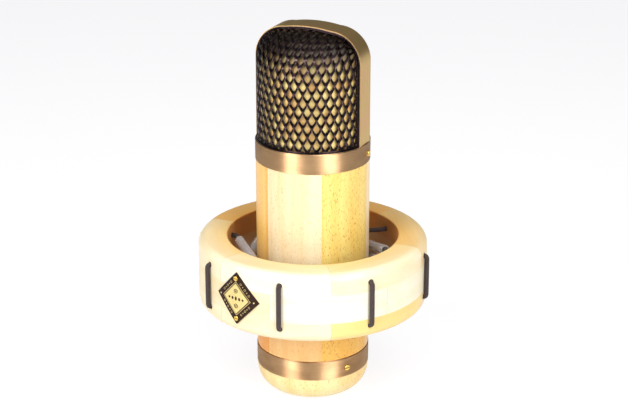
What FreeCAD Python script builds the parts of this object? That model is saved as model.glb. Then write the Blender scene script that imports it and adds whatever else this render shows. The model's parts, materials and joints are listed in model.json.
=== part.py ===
import FreeCAD, Part
import os
from math import acos, cos, degrees, radians, sin, tan

# Side-address condenser microphone in a laced wooden suspension ring. Millimetres, +Z up.
# The origin is on the microphone's axis at the foot of its base; its front faces -Y.

V = FreeCAD.Vector
UP = V(0, 0, 1)
AXIS_X = V(1, 0, 0)
AXIS_Y = V(0, 1, 0)
ORIGIN = V(0, 0, 0)

# ---- driving dimensions: microphone -------------------------------------------------
band_outer_r = 31.5
band_wall = 1.2
band_proud = 0.3
lower_band_z = 15.1
lower_band_height = 11.0
upper_band_z = 135.8
upper_band_height = 11.2
shadow_gap = 0.4
stave_count = 6
stave_wall = 4.2
stave_turn = 3.0
spigot_height = 2.5
cap_spigot_height = 8.4
cap_edge_r = 13.2
cable_recess_r = 13.0
cable_recess_depth = 6.0

# ---- driving dimensions: head ------------------------------------------------------
hoop_inset = 0.7
hoop_depth = 14.0
hoop_thickness = 1.3
hoop_height = 62.4
hoop_corner_r = 17.7
hoop_crown = 1.2
hoop_tab_half_width = 5.0
hoop_tab_thickness = 1.5
hoop_tab_drop = 8.5
hoop_tab_rise = 3.0
mesh_inset = 1.3
mesh_thickness = 0.8
mesh_straight_height = 37.0
mesh_tuck = 1.6
gauze_thickness = 0.4
head_gap = 0.15

# ---- driving dimensions: fasteners -------------------------------------------------
band_screw_r = 1.2
band_screw_head_r = 1.7
band_screw_head_height = 0.8
band_rim_fillet = 0.3
upper_screw_turn = 6.0
lower_screw_turn = 331.0
wood_screw_r = 1.5
wood_screw_head_r = 2.8
base_screw_head_height = 1.4
bracket_screw_head_height = 1.6
head_fillet_share = 0.45
slot_width_share = 0.28
lower_screw_length = 7.0
base_screw_circle_r = 21.5
base_screw_bite = 9.0

# ---- driving dimensions: electronics ------------------------------------------------
plate_thickness = 2.5
rail_thickness = 3.0
rail_width = 10.0
rail_offset = 20.0
chassis_screw_r = 1.0
chassis_screw_length = 6.0
lead_slot_half_length = 13.0
lead_slot_half_width = 2.5
board_width = 34.0
board_height = 58.0
board_thickness = 1.6
board_y = 8.0
board_below_valve = 22.0
capacitor_rise = 8.0
valve_r = 9.5
valve_height = 40.0
valve_y = -8.0
valve_wall = 0.8
valve_shoulder = 5.0
valve_tip_r = 3.0
valve_pin_r = 0.6
valve_pin_circle_r = 6.0
valve_socket_height = 7.0
valve_socket_wall = 1.0
valve_socket_z = 82.0
transformer_r = 14.0
transformer_height = 30.0
transformer_y = -4.0
transformer_fillet = 1.5
capacitor_r = 5.0
capacitor_length = 24.0
connector_r = 9.5
connector_wall = 1.0
connector_flange = 3.5
connector_insert_rise = 11.0
connector_pin_r = 1.0
connector_pin_circle_r = 6.0
connector_pin_count = 6
capsule_r = 17.0
capsule_thickness = 7.0
diaphragm_thickness = 0.3
clamp_ring_thickness = 1.2
clamp_ring_width = 3.0
capsule_rise = 34.0
capsule_screw_count = 8
capsule_screw_r = 0.5
capsule_screw_head_r = 0.9
capsule_screw_head_height = 0.5
capsule_screw_length = 2.0
lead_r = 0.6
lead_hole_r = 1.5
lead_x = 11.0
lead_drop = 12.0
saddle_width = 12.0
saddle_half_depth = 3.0
saddle_wall = 2.5
saddle_pad_r = 9.0
saddle_pad_height = 3.0
cradle_height = 9.0

# ---- driving dimensions: suspension ring --------------------------------------------
ring_outer_r = 63.5
ring_inner_r = 47.4
ring_z = 52.3
ring_layers = (("bottom", 11.1), ("middle", 15.6), ("top", 12.2))
ring_outer_fillet = 4.7
ring_inner_fillet = 0.6
segment_count = 6
segment_turn = 32.4
mount_turn = 30.5

# ---- driving dimensions: elastic cord and sleeves -----------------------------------
cord_r = 1.4
hole_count = 8
hole_turn = 22.5
upper_hole_drop = 6.7
lower_hole_rise = 7.4
outer_bend_r = 2.0
inner_bend_r = 3.0
inner_stub = 2.4
lacing_step = 3
sleeve_r = 2.7
sleeve_bore_r = 1.7
sleeve_pitch = 6.6
# how far each run has dropped where it meets the body, and how far its sleeve starts from the wall
run_drops = (5.9, 5.6, 4.6, 6.4, 5.9, 5.6, 5.9, 5.6)
sleeve_starts = (17.0, 14.0, 9.0, 5.0, 14.0, 12.0, 14.0, 8.0)
sleeve_ends = (9.0, 10.0, 12.0, 14.0, 9.0, 10.0, 9.0, 12.0)

# ---- driving dimensions: badge ------------------------------------------------------
badge_turn = 224.2
badge_rise = 0.9
badge_half_width = 14.4
badge_half_height = 14.9
badge_thickness = 0.9
inlay_share = 0.585
inlay_thickness = 0.3
badge_screw_rise = 11.5
badge_screw_r = 0.8
badge_screw_head_r = 1.4
badge_screw_head_height = 0.6
badge_screw_length = 6.0

# ---- driving dimensions: stand fitting ----------------------------------------------
bracket_half_width = 12.0
bracket_half_height = 14.5
bracket_thickness = 5.0
bracket_fillet = 3.0
ear_gap_half = 5.2
ear_thickness = 4.0
ear_r = 8.0
bolt_r = 3.0
bolt_offset = 19.5
bracket_screw_rise = 11.2
bracket_screw_depth = 14.0
adaptor_r = 11.5
adaptor_drop = 12.0
adaptor_length = 18.0
adaptor_fillet = 0.8
thread_r = 7.5
thread_wall = 2.0
thread_length = 16.0
knob_r = 9.0
knob_length = 9.0
knob_lobes = 6
knob_hollow_reach = 1.22
knob_hollow_share = 0.42
nut_across_flats = 10.0
nut_thickness = 5.0
washer_r = 6.5
washer_thickness = 1.0

# ---- clearances ---------------------------------------------------------------------
seat_clearance = 0.05
screw_clearance = 0.05
cord_clearance = 0.2
body_clearance = 0.3
running_clearance = 0.05
slip_clearance = 0.3
overcut = 1.0

# ---- worked-out places --------------------------------------------------------------
body_r = band_outer_r - band_proud
band_inner_r = band_outer_r - band_wall
spigot_r = band_inner_r - seat_clearance
stave_inner_r = body_r - stave_wall
hoop_half_width = band_outer_r - hoop_inset
mesh_r = band_outer_r - mesh_inset
lower_band_top = lower_band_z + lower_band_height
upper_band_top = upper_band_z + upper_band_height
cap_top = lower_band_z + cap_spigot_height
stave_bottom = cap_top + body_clearance
stave_top = upper_band_z + spigot_height
plate_r = stave_inner_r - slip_clearance
base_screw_length = plate_thickness + base_screw_bite
base_plate_z = cap_top + connector_wall
base_plate_top = base_plate_z + plate_thickness
top_plate_z = stave_top - plate_thickness
head_plate_z = stave_top
head_plate_top = head_plate_z + plate_thickness
tab_inner_r = band_inner_r - seat_clearance - hoop_tab_thickness
head_plate_r = tab_inner_r - slip_clearance
capsule_z = upper_band_top + capsule_rise
ring_height = sum(height for _, height in ring_layers)
ring_top = ring_z + ring_height
ring_middle_z = ring_z + ring_height / 2
upper_hole_z = ring_top - upper_hole_drop
lower_hole_z = ring_z + lower_hole_rise
hole_r = cord_r + cord_clearance
outer_run_r = ring_outer_r + cord_r + cord_clearance
hug_r = body_r + body_clearance + sleeve_r
bolt_y = ring_outer_r + bolt_offset
adaptor_top = ring_middle_z - adaptor_drop
adaptor_bottom = adaptor_top - adaptor_length
board_low = valve_socket_z - board_below_valve
saddle_low = capsule_z - capsule_r - saddle_wall
ear_face = ear_gap_half + ear_thickness
badge_face_r = ring_outer_r + badge_thickness
badge_z = ring_middle_z + badge_rise

os.makedirs("parts", exist_ok=True)


# ---- helpers ------------------------------------------------------------------------
def save(name, *solids):
    shape = solids[0] if len(solids) == 1 else Part.makeCompound(list(solids))
    shape.exportStep("parts/" + name + ".step")


def cylinder(radius, z_low, z_high, x=0, y=0):
    return Part.makeCylinder(radius, z_high - z_low, V(x, y, z_low), UP)


def tube(outer, inner, z_low, z_high, x=0, y=0):
    return cylinder(outer, z_low, z_high, x, y).cut(
        cylinder(inner, z_low - overcut, z_high + overcut, x, y))


def box(x_low, x_high, y_low, y_high, z_low, z_high):
    return Part.makeBox(x_high - x_low, y_high - y_low, z_high - z_low, V(x_low, y_low, z_low))


def rod(radius, start, end):
    way = end - start
    return Part.makeCylinder(radius, way.Length, start, way)


def polar(radius, angle, z=0):
    return V(radius * cos(radians(angle)), radius * sin(radians(angle)), z)


def turned(shape, angle):
    copy = shape.copy()
    copy.rotate(ORIGIN, UP, angle)
    return copy


def save_on_mount(name, *solids):
    save(name, *[turned(solid, mount_turn) for solid in solids])


def prism(points, direction):
    wire = Part.makePolygon(points + [points[0]])
    return Part.Face(wire).extrude(direction)


def sector(angle_low, angle_high, z_low, z_high, reach):
    """A wedge about the Z axis, used to divide rings and tubes."""
    middle = (angle_low + angle_high) / 2
    far = reach / cos(radians((angle_high - angle_low) / 4))
    points = [V(0, 0, z_low), polar(far, angle_low, z_low), polar(far, middle, z_low),
              polar(far, angle_high, z_low)]
    return prism(points, V(0, 0, z_high - z_low))


def route(points, radii):
    """Straight runs joined by tangent arcs, one radius for each inner point."""
    edges = []
    start = points[0]
    for before, corner, after, radius in zip(points, points[1:], points[2:], radii):
        back = (before - corner).normalize()
        ahead = (after - corner).normalize()
        half_turn = (180 - degrees(back.getAngle(ahead))) / 2
        reach = radius * tan(radians(half_turn))
        middle = (back + ahead).normalize()
        arc_start = corner + back * reach
        arc_end = corner + ahead * reach
        arc_middle = corner + middle * (radius / cos(radians(half_turn)) - radius)
        edges.append(Part.LineSegment(start, arc_start).toShape())
        edges.append(Part.Arc(arc_start, arc_middle, arc_end).toShape())
        start = arc_end
    edges.append(Part.LineSegment(start, points[-1]).toShape())
    return Part.Wire(edges)


def bend_radius(before, corner, after):
    """A radius that leaves a short straight stretch on both runs."""
    shorter = min((before - corner).Length, (after - corner).Length)
    half_turn = (180 - degrees((before - corner).getAngle(after - corner))) / 2
    return 0.45 * shorter / tan(radians(half_turn))


def swept(path, radius):
    start = path.Edges[0]
    profile = Part.Wire(Part.makeCircle(radius, start.valueAt(start.FirstParameter),
                                        start.tangentAt(start.FirstParameter)))
    return path.makePipeShell([profile], True, False)


def screw(seat, way, shank_r, length, head_r, head_height):
    """A slotted pan-head screw: seat is under its head, way points out of the head."""
    out = V(way).normalize()
    shank = rod(shank_r, seat - out * length, seat)
    head = rod(head_r, seat, seat + out * head_height)
    crown = [edge for edge in head.Edges if edge.Length > 0 and edge.isClosed()
             and (edge.CenterOfMass - seat).dot(out) > head_height / 2]
    head = head.makeFillet(head_fillet_share * head_height, crown)
    slot_side = out.cross(UP if abs(out.z) < 0.9 else AXIS_X).normalize()
    slot_up = out.cross(slot_side)
    half = slot_width_share * head_r / 2
    low = seat + out * (head_fillet_share * head_height) - slot_side * (2 * head_r) - slot_up * half
    corners = [low, low + slot_up * (2 * half), low + slot_up * (2 * half) + out * head_height,
               low + out * head_height]
    slot = prism(corners, slot_side * (4 * head_r))
    return shank.fuse(head).removeSplitter().cut(slot)


# ---- base ---------------------------------------------------------------------------
def base_cap():
    foot_r = body_r - cap_edge_r
    edge_middle = V(foot_r + cap_edge_r * sin(radians(45)), 0, cap_edge_r * (1 - cos(radians(45))))
    outline = [
        Part.LineSegment(V(0, 0, 0), V(foot_r, 0, 0)),
        Part.Arc(V(foot_r, 0, 0), edge_middle, V(body_r, 0, cap_edge_r)),
        Part.LineSegment(V(body_r, 0, cap_edge_r), V(body_r, 0, lower_band_z)),
        Part.LineSegment(V(body_r, 0, lower_band_z), V(spigot_r, 0, lower_band_z)),
        Part.LineSegment(V(spigot_r, 0, lower_band_z), V(spigot_r, 0, cap_top)),
        Part.LineSegment(V(spigot_r, 0, cap_top), V(0, 0, cap_top)),
        Part.LineSegment(V(0, 0, cap_top), V(0, 0, 0)),
    ]
    wire = Part.Wire([line.toShape() for line in outline])
    cap = Part.Face(wire).revolve(ORIGIN, UP, 360)
    cap = cap.cut(cylinder(cable_recess_r, -overcut, cable_recess_depth))
    cap = cap.cut(cylinder(connector_r + connector_wall + seat_clearance, -overcut,
                           cap_top + overcut))
    for place in lower_screw_places():
        inward = V(-place.x, -place.y, 0).normalize()
        cap = cap.cut(rod(band_screw_r + screw_clearance, place,
                          place + inward * (lower_screw_length + overcut)))
    for place in base_screw_places():
        cap = cap.cut(cylinder(wood_screw_r + screw_clearance,
                               place.z - base_screw_length - overcut, cap_top + overcut,
                               place.x, place.y))
    return cap


def lower_screw_places():
    z = lower_band_z + 0.48 * lower_band_height
    return [polar(band_outer_r, lower_screw_turn + step, z) for step in (0, 180)]


def upper_screw_places():
    z = upper_band_z + 0.45 * upper_band_height
    return [polar(band_outer_r, upper_screw_turn + step, z) for step in (0, 180)]


def base_screw_places():
    return [polar(base_screw_circle_r, 30 + 120 * step, base_plate_top) for step in range(3)]


def band(z_low, height, places):
    ring = tube(band_outer_r, band_inner_r, z_low, z_low + height)
    rims = [edge for edge in ring.Edges if edge.isClosed()
            and abs(edge.BoundBox.XMax - band_outer_r) < 0.01]
    ring = ring.makeFillet(band_rim_fillet, rims)
    for place in places:
        inward = V(-place.x, -place.y, 0).normalize()
        ring = ring.cut(rod(band_screw_r + screw_clearance, place + inward * (2 * band_wall),
                            place - inward * band_wall))
    return ring


def band_screws(places, length):
    screws = []
    for place in places:
        out = V(place.x, place.y, 0)
        screws.append(screw(place, out, band_screw_r, length, band_screw_head_r,
                            band_screw_head_height))
    return screws


save("base_cap", base_cap())
save("lower_band", band(lower_band_z, lower_band_height, lower_screw_places()))
save("lower_band_screws", *band_screws(lower_screw_places(), lower_screw_length))
save("upper_band", band(upper_band_z, upper_band_height, upper_screw_places()))
save("upper_band_screws", *band_screws(upper_screw_places(), band_outer_r - tab_inner_r))


# ---- wooden body --------------------------------------------------------------------
def staves():
    shell = tube(body_r, stave_inner_r, lower_band_top + shadow_gap, upper_band_z)
    shell = shell.fuse(tube(spigot_r, stave_inner_r, stave_bottom, lower_band_top + shadow_gap))
    shell = shell.fuse(tube(spigot_r, stave_inner_r, upper_band_z, stave_top)).removeSplitter()
    share = 360 / stave_count
    pieces = []
    for number in range(stave_count):
        low = stave_turn + share * number
        wedge = sector(low, low + share, stave_bottom - overcut, stave_top + overcut, 2 * body_r)
        pieces.append(shell.common(wedge).Solids[0])
    return pieces


for number, stave in enumerate(staves(), 1):
    save("body_stave_" + str(number), stave)


# ---- head ---------------------------------------------------------------------------
def arch_outline(inset, y):
    """The hoop's outline seen from the front, drawn at depth y, drawn in by inset."""
    side = hoop_half_width - inset
    shoulder = upper_band_top + hoop_height - inset
    corner = hoop_corner_r - inset
    spring_z = shoulder - corner
    inner_x = side - corner
    turn = corner * cos(radians(45))
    points = [V(-side, y, upper_band_top), V(-side, y, spring_z),
              V(-inner_x - turn, y, spring_z + turn), V(-inner_x, y, shoulder),
              V(0, y, shoulder + hoop_crown), V(inner_x, y, shoulder),
              V(inner_x + turn, y, spring_z + turn), V(side, y, spring_z),
              V(side, y, upper_band_top)]
    edges = [Part.LineSegment(points[0], points[1]), Part.Arc(points[1], points[2], points[3]),
             Part.Arc(points[3], points[4], points[5]), Part.Arc(points[5], points[6], points[7]),
             Part.LineSegment(points[7], points[8]), Part.LineSegment(points[8], points[0])]
    return Part.Face(Part.Wire([edge.toShape() for edge in edges]))


def head_hoop():
    depth = V(0, hoop_depth, 0)
    outer = arch_outline(0, -hoop_depth / 2).extrude(depth)
    inner = arch_outline(hoop_thickness, -hoop_depth).extrude(2 * depth)
    hoop = outer.cut(inner)
    hoop = hoop.common(cylinder(band_outer_r, upper_band_top, upper_band_top + 2 * hoop_height))
    tab_r = band_inner_r - seat_clearance
    foot_z = upper_band_top + hoop_tab_rise
    tabs = tube(tab_r, tab_inner_r, upper_band_top - hoop_tab_drop, foot_z)
    slab = box(-band_outer_r, band_outer_r, -hoop_tab_half_width, hoop_tab_half_width,
               upper_band_top - hoop_tab_drop, foot_z)
    hoop = hoop.fuse(tabs.common(slab)).removeSplitter()
    for place in upper_screw_places():
        hoop = hoop.cut(rod(band_screw_r + screw_clearance, place * 0.5 + V(0, 0, place.z * 0.5),
                            place))
    return hoop


def side_profile(inset):
    """The head's outline seen from the side: upright, then rolled over to the hoop's edge."""
    reach = mesh_r - inset
    top = upper_band_top + hoop_height - hoop_thickness - head_gap - inset
    spring_z = upper_band_top + mesh_straight_height
    roll = top - spring_z
    flat = hoop_depth / 2 - mesh_tuck
    depth = reach - flat
    turn = cos(radians(45))
    points = [V(0, 0, upper_band_top), V(0, -reach, upper_band_top), V(0, -reach, spring_z),
              V(0, -flat - depth * turn, spring_z + roll * turn), V(0, -flat, top), V(0, 0, top)]
    edges = [Part.LineSegment(points[0], points[1]), Part.LineSegment(points[1], points[2]),
             Part.Arc(points[2], points[3], points[4]), Part.LineSegment(points[4], points[5]),
             Part.LineSegment(points[5], points[0])]
    wire = Part.Wire([edge.toShape() for edge in edges])
    return Part.Face(wire).extrude(V(2 * band_outer_r, 0, 0)).translate(V(-band_outer_r, 0, 0))


def head_form(inset):
    front = arch_outline(hoop_thickness + head_gap + inset, -band_outer_r)
    front = front.extrude(V(0, 2 * band_outer_r, 0))
    round_plan = cylinder(mesh_r - inset, upper_band_top, upper_band_top + 2 * hoop_height)
    return round_plan.common(front).common(side_profile(inset))


def head_skin(outer_inset, thickness):
    tuck = -hoop_depth / 2 + mesh_tuck
    skin = head_form(outer_inset).cut(head_form(outer_inset + thickness))
    keep = box(-band_outer_r, band_outer_r, -band_outer_r, tuck, upper_band_top,
               upper_band_top + 2 * hoop_height)
    return skin.common(keep)


front_mesh = head_skin(0, mesh_thickness)
front_gauze = head_skin(mesh_thickness + head_gap, gauze_thickness)
save("head_hoop", head_hoop())
save("front_mesh", front_mesh)
save("front_gauze", front_gauze)
save("rear_mesh", turned(front_mesh, 180))
save("rear_gauze", turned(front_gauze, 180))


# ---- capsule ------------------------------------------------------------------------
def disc(radius, y_low, y_high):
    return Part.makeCylinder(radius, y_high - y_low, V(0, y_low, capsule_z), AXIS_Y)


def capsule_screw_spots():
    spot_r = capsule_r - clamp_ring_width / 2
    step = 360 / capsule_screw_count
    return [V(spot_r * cos(radians(step * n)), 0, capsule_z + spot_r * sin(radians(step * n)))
            for n in range(capsule_screw_count)]


def capsule():
    half = capsule_thickness / 2
    skin = half + diaphragm_thickness
    face = skin + clamp_ring_thickness
    backplate = disc(capsule_r, -half, half)
    film = disc(capsule_r, -skin, -half)
    clamp = disc(capsule_r, -face, -skin).cut(disc(capsule_r - clamp_ring_width, -face, -skin))
    screws = []
    for spot in capsule_screw_spots():
        for side in (-1, 1):
            seat = V(spot.x, side * face, spot.z)
            screws.append(screw(seat, V(0, side, 0), capsule_screw_r, capsule_screw_length,
                                capsule_screw_head_r, capsule_screw_head_height))
            hole = rod(capsule_screw_r + screw_clearance, seat,
                       seat - V(0, side * (capsule_screw_length + overcut), 0))
            backplate = backplate.cut(hole)
            film = film.cut(hole)
            clamp = clamp.cut(hole)
    save("capsule_backplate", backplate)
    save("front_diaphragm", film)
    save("rear_diaphragm", turned(film, 180))
    save("front_clamp_ring", clamp)
    save("rear_clamp_ring", turned(clamp, 180))
    save("capsule_screws", *screws)


def capsule_saddle():
    half = saddle_half_depth
    reach = capsule_r + saddle_wall
    pad_top = head_plate_top + saddle_pad_height
    pad = cylinder(saddle_pad_r, head_plate_top, pad_top)
    post = box(-saddle_width / 2, saddle_width / 2, -half, half, pad_top, saddle_low + saddle_wall)
    seat = disc(capsule_r + seat_clearance, -half - overcut, half + overcut)
    cradle = disc(reach, -half, half).common(
        box(-reach, reach, -half, half, saddle_low, saddle_low + cradle_height))
    return pad.fuse(post).fuse(cradle).removeSplitter().cut(seat)


def head_plate():
    plate = cylinder(head_plate_r, head_plate_z, head_plate_top)
    for x in (-lead_x, lead_x):
        plate = plate.cut(cylinder(lead_hole_r, head_plate_z - overcut, head_plate_top + overcut, x))
    return plate


def capsule_lead(side):
    """From inside the body, up through the head plate, to the capsule's lower edge."""
    points = [V(side * lead_x, 0, top_plate_z - lead_drop),
              V(side * lead_x, 0, head_plate_top + 4),
              V(side * (lead_x + 3), 4.4, saddle_low - 1.5),
              V(side * (lead_x - 1), 4.4, saddle_low + saddle_wall + 2)]
    radii = [bend_radius(*points[0:3]), bend_radius(*points[1:4])]
    return swept(route(points, radii), lead_r)


capsule()
save("capsule_saddle", capsule_saddle())
save("head_plate", head_plate())
save("capsule_leads", capsule_lead(-1), capsule_lead(1))


# ---- electronics --------------------------------------------------------------------
def chassis_screw_places():
    return [V(side * (rail_offset + rail_thickness / 2), 0, 0) for side in (-1, 1)]


def base_plate():
    plate = cylinder(plate_r, base_plate_z, base_plate_top)
    plate = plate.cut(cylinder(connector_r, base_plate_z - overcut, base_plate_top + overcut))
    for place in base_screw_places():
        plate = plate.cut(cylinder(wood_screw_r + screw_clearance, base_plate_z - overcut,
                                   base_plate_top + overcut, place.x, place.y))
    return plate


def top_plate():
    plate = cylinder(plate_r, top_plate_z, stave_top)
    plate = plate.cut(box(-lead_slot_half_length, lead_slot_half_length, -lead_slot_half_width,
                          lead_slot_half_width, top_plate_z - overcut, stave_top + overcut))
    for place in chassis_screw_places():
        plate = plate.cut(cylinder(chassis_screw_r + screw_clearance, top_plate_z - overcut,
                                   stave_top + overcut, place.x))
    return plate


def chassis_rail(side):
    middle = side * (rail_offset + rail_thickness / 2)
    rail = box(middle - rail_thickness / 2, middle + rail_thickness / 2, -rail_width / 2,
               rail_width / 2, base_plate_top, top_plate_z)
    return rail.cut(cylinder(chassis_screw_r + screw_clearance,
                             top_plate_z - chassis_screw_length - overcut, top_plate_z + overcut,
                             middle))


def valve():
    """The valve's glass and, inside it, the electrodes on their insulating disc."""
    low = valve_socket_z + valve_socket_height
    shoulder_z = low + valve_height - valve_shoulder
    glass = cylinder(valve_r, low, low + valve_height, 0, valve_y)
    top = [edge for edge in glass.Edges if edge.isClosed() and edge.BoundBox.ZMin > low + 1]
    glass = glass.makeFillet(0.55 * valve_r, top)
    hollow = cylinder(valve_r - valve_wall, low + valve_wall, shoulder_z, 0, valve_y)
    hollow = hollow.fuse(Part.makeSphere(valve_tip_r, V(0, valve_y, shoulder_z)))
    mica_top = low + 6
    plates = box(-4, 4, valve_y - 2.5, valve_y + 2.5, mica_top, shoulder_z - 7)
    mica = cylinder(valve_r - valve_wall - 0.4, mica_top - 1.5, mica_top, 0, valve_y)
    return glass.cut(hollow), plates.fuse(mica).removeSplitter()


def valve_socket():
    top = valve_socket_z + valve_socket_height
    socket = tube(valve_r + valve_socket_wall, 2.0, valve_socket_z, top, 0, valve_y)
    for number in range(7):
        spot = polar(valve_pin_circle_r, 45 * number)
        socket = socket.cut(cylinder(valve_pin_r, valve_socket_z - overcut, top + overcut, spot.x,
                                     spot.y + valve_y))
    return socket


def transformer():
    low = base_plate_top
    can = cylinder(transformer_r, low, low + transformer_height, 0, transformer_y)
    rims = [edge for edge in can.Edges if edge.isClosed() and edge.BoundBox.ZMin > low + 1]
    return can.makeFillet(transformer_fillet, rims)


def circuit_board():
    return box(-board_width / 2, board_width / 2, board_y, board_y + board_thickness, board_low,
               board_low + board_height)


def capacitor():
    low = board_low + capacitor_rise
    return cylinder(capacitor_r, low, low + capacitor_length, 0,
                    board_y + board_thickness + capacitor_r)


save("base_plate", base_plate())
save("base_screws", *[
    screw(place, UP, wood_screw_r, base_screw_length, wood_screw_head_r, base_screw_head_height)
    for place in base_screw_places()])
save("top_plate", top_plate())
save("chassis_rail_left", chassis_rail(-1))
save("chassis_rail_right", chassis_rail(1))
save("chassis_screws", *[
    cylinder(chassis_screw_r, top_plate_z - chassis_screw_length, stave_top, place.x)
    for place in chassis_screw_places()])
valve_glass, valve_plates = valve()
save("valve_glass", valve_glass)
save("valve_plates", valve_plates)
save("valve_socket", valve_socket())
save("output_transformer", transformer())
save("circuit_board", circuit_board())
save("coupling_capacitor", capacitor())


# ---- connector ----------------------------------------------------------------------
def connector():
    shell_r = connector_r + connector_wall
    shell = tube(shell_r, connector_r, cable_recess_depth, cap_top)
    flange = tube(shell_r + connector_flange, connector_r, cap_top, base_plate_z)
    shell = shell.fuse(flange).removeSplitter()
    insert_low = cable_recess_depth + connector_insert_rise
    insert = cylinder(connector_r - seat_clearance, insert_low, base_plate_z)
    spots = [polar(connector_pin_circle_r, 360 / connector_pin_count * n)
             for n in range(connector_pin_count)]
    spots.append(ORIGIN)
    pins = []
    for spot in spots:
        pins.append(cylinder(connector_pin_r, cable_recess_depth + 2, base_plate_top - 1, spot.x,
                             spot.y))
        insert = insert.cut(cylinder(connector_pin_r + seat_clearance, 0, base_plate_top, spot.x,
                                     spot.y))
    save("connector_shell", shell)
    save("connector_insert", insert)
    save("connector_pins", *pins)


connector()


# ---- suspension ring ----------------------------------------------------------------
def ring_blank():
    bent = cos(radians(45))
    outer, inner = ring_outer_fillet, ring_inner_fillet
    out_x, in_x = ring_outer_r - outer, ring_inner_r + inner
    low_z, high_z = ring_z + outer, ring_top - outer
    edges = [
        Part.LineSegment(V(in_x, 0, ring_z), V(out_x, 0, ring_z)),
        Part.Arc(V(out_x, 0, ring_z), V(out_x + outer * bent, 0, low_z - outer * bent),
                 V(ring_outer_r, 0, low_z)),
        Part.LineSegment(V(ring_outer_r, 0, low_z), V(ring_outer_r, 0, high_z)),
        Part.Arc(V(ring_outer_r, 0, high_z), V(out_x + outer * bent, 0, high_z + outer * bent),
                 V(out_x, 0, ring_top)),
        Part.LineSegment(V(out_x, 0, ring_top), V(in_x, 0, ring_top)),
        Part.Arc(V(in_x, 0, ring_top), V(in_x - inner * bent, 0, ring_top - inner + inner * bent),
                 V(ring_inner_r, 0, ring_top - inner)),
        Part.LineSegment(V(ring_inner_r, 0, ring_top - inner), V(ring_inner_r, 0, ring_z + inner)),
        Part.Arc(V(ring_inner_r, 0, ring_z + inner),
                 V(in_x - inner * bent, 0, ring_z + inner - inner * bent), V(in_x, 0, ring_z)),
    ]
    wire = Part.Wire([edge.toShape() for edge in edges])
    ring = Part.Face(wire).revolve(ORIGIN, UP, 360)
    for angle in hole_angles():
        for z in (upper_hole_z, lower_hole_z):
            ring = ring.cut(rod(hole_r, polar(ring_inner_r - 3, angle, z),
                                polar(ring_outer_r + 3, angle, z)))
    for place in bracket_screw_places():
        ring = ring.cut(rod(wood_screw_r + screw_clearance,
                            place - V(0, bracket_screw_depth + overcut, 0), place))
    for place in badge_screw_places():
        inward = V(-place.x, -place.y, 0).normalize()
        ring = ring.cut(rod(badge_screw_r + screw_clearance, place,
                            place + inward * (badge_screw_length + overcut)))
    return ring


def hole_angles():
    return [hole_turn + 360 / hole_count * number for number in range(hole_count)]


def bracket_screw_places():
    y = ring_outer_r + bracket_thickness
    return [V(0, y, ring_middle_z + side * bracket_screw_rise) for side in (-1, 1)]


def badge_screw_places():
    return [polar(badge_face_r, badge_turn, badge_z + side * badge_screw_rise)
            for side in (-1, 1)]


def save_ring():
    blank = ring_blank()
    share = 360 / segment_count
    low = ring_z
    for course, (name, height) in enumerate(ring_layers):
        first = segment_turn + share / 2 * (course % 2)
        segments = []
        for number in range(segment_count):
            start = first + share * number
            wedge = sector(start, start + share, low, low + height, 2 * ring_outer_r)
            segments.append(blank.common(wedge).Solids[0])
        save_on_mount("ring_layer_" + name, *segments)
        low += height


save_ring()


# ---- elastic cord and sleeves -------------------------------------------------------
def outer_run(angle):
    points = [polar(ring_inner_r, angle, upper_hole_z), polar(outer_run_r, angle, upper_hole_z),
              polar(outer_run_r, angle, lower_hole_z), polar(ring_inner_r, angle, lower_hole_z)]
    return swept(route(points, [outer_bend_r, outer_bend_r]), cord_r)


def inner_points(number):
    """From an upper hole, round the body, to the lower hole three places further on."""
    step = 360 / hole_count
    first = hole_turn + step * number
    last = first + step * lacing_step
    stub_r = ring_inner_r - inner_stub
    lead = degrees(acos(hug_r / stub_r))
    wrap = last - first - 2 * lead
    corner_r = hug_r / cos(radians(wrap / 4))
    meet_z = upper_hole_z - run_drops[number]
    next_meet_z = upper_hole_z - run_drops[(number + 1) % hole_count]
    under_next_z = next_meet_z - sleeve_pitch
    past_next = wrap - step
    leave_z = (under_next_z * wrap - meet_z * past_next) / step
    fall = meet_z - leave_z
    return [polar(ring_inner_r, first, upper_hole_z), polar(stub_r, first, upper_hole_z),
            polar(corner_r, first + lead + wrap / 4, meet_z - fall / 4),
            polar(corner_r, last - lead - wrap / 4, leave_z + fall / 4),
            polar(stub_r, last, lower_hole_z), polar(ring_inner_r, last, lower_hole_z)]


def hug_radii(points):
    return [bend_radius(*points[1:4]), bend_radius(*points[2:5])]


def inner_run(number):
    points = inner_points(number)
    hug = hug_radii(points)
    path = route(points, [inner_bend_r] + hug + [inner_bend_r])
    tightest = min([inner_bend_r] + hug)
    print("inner run", number + 1, "length", round(path.Length, 1), "tightest", round(tightest, 1))
    return swept(path, cord_r)


def sleeve(number):
    points = inner_points(number)
    start = points[1] + (points[2] - points[1]).normalize() * sleeve_starts[number]
    end = points[4] + (points[3] - points[4]).normalize() * sleeve_ends[number]
    path = route([start, points[2], points[3], end], hug_radii(points))
    return swept(path, sleeve_r).cut(swept(path, sleeve_bore_r))


save_on_mount("elastic_outer_runs", *[outer_run(angle) for angle in hole_angles()])
save_on_mount("elastic_inner_runs", *[inner_run(number) for number in range(hole_count)])
save_on_mount("grip_sleeves", *[sleeve(number) for number in range(hole_count)])


# ---- badge --------------------------------------------------------------------------
def badge_layer(share, inner_r, outer_r):
    near = ring_inner_r
    across_half, up_half = share * badge_half_width, share * badge_half_height
    points = [V(near, across_half, badge_z), V(near, 0, badge_z + up_half),
              V(near, -across_half, badge_z), V(near, 0, badge_z - up_half)]
    diamond = prism(points, V(ring_outer_r, 0, 0))
    layer = tube(outer_r, inner_r, ring_z, ring_top).common(diamond)
    return turned(layer, badge_turn)


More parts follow.
